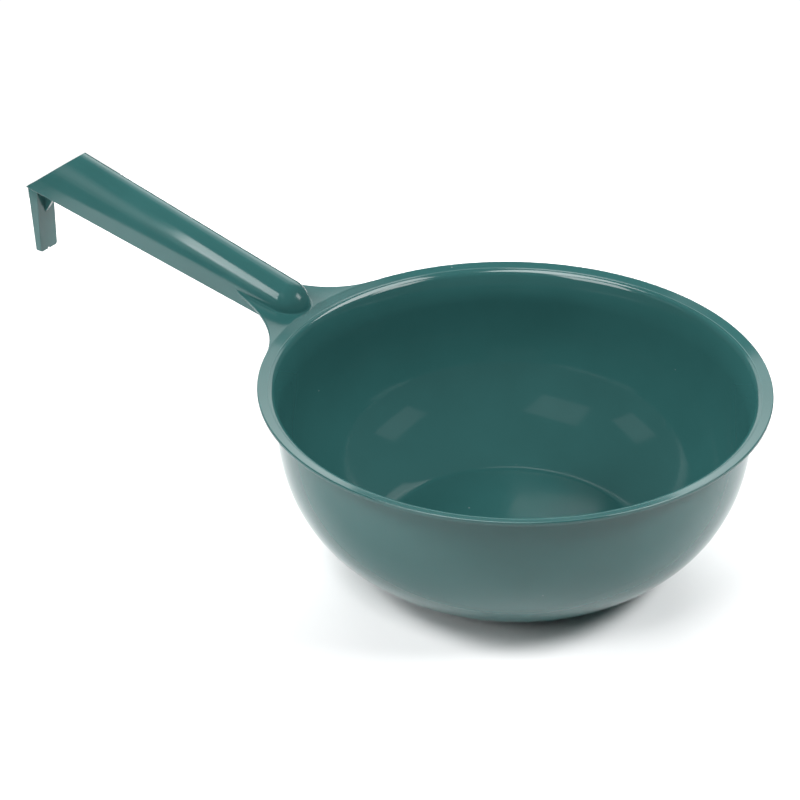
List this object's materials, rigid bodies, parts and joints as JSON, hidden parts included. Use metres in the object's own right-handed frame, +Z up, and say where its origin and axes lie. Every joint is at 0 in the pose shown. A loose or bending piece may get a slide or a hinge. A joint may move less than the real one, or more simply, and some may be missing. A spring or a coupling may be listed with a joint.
{
  "type": "feed scoop",
  "caption": "Round-bottomed plastic feed bowl with a flared lip and a rising hollow channel handle whose bevelled end carries a downward hanging hook.",
  "frame": {"origin": "centre of the flat base's underside", "axes": "+X along the handle towards the hook, +Z up through the bowl's mouth, +Y completes the right-handed set"},
  "size_m": [0.4113, 0.24, 0.135],
  "materials": {
    "moulded_plastic": "glossy injection-moulded polypropylene, dark teal green"
  },
  "bodies": {
    "root": {"bowl_base": "moulded_plastic", "bowl_wall": "moulded_plastic", "rim_lip": "moulded_plastic", "throat_web": "moulded_plastic", "neck_rib_left": "moulded_plastic", "neck_rib_right": "moulded_plastic", "handle_nose": "moulded_plastic", "handle_crown": "moulded_plastic", "handle_skirt_left": "moulded_plastic", "handle_skirt_right": "moulded_plastic", "handle_end_wall": "moulded_plastic", "hook_leg": "moulded_plastic", "hook_gusset": "moulded_plastic"}
  },
  "joints": []
}
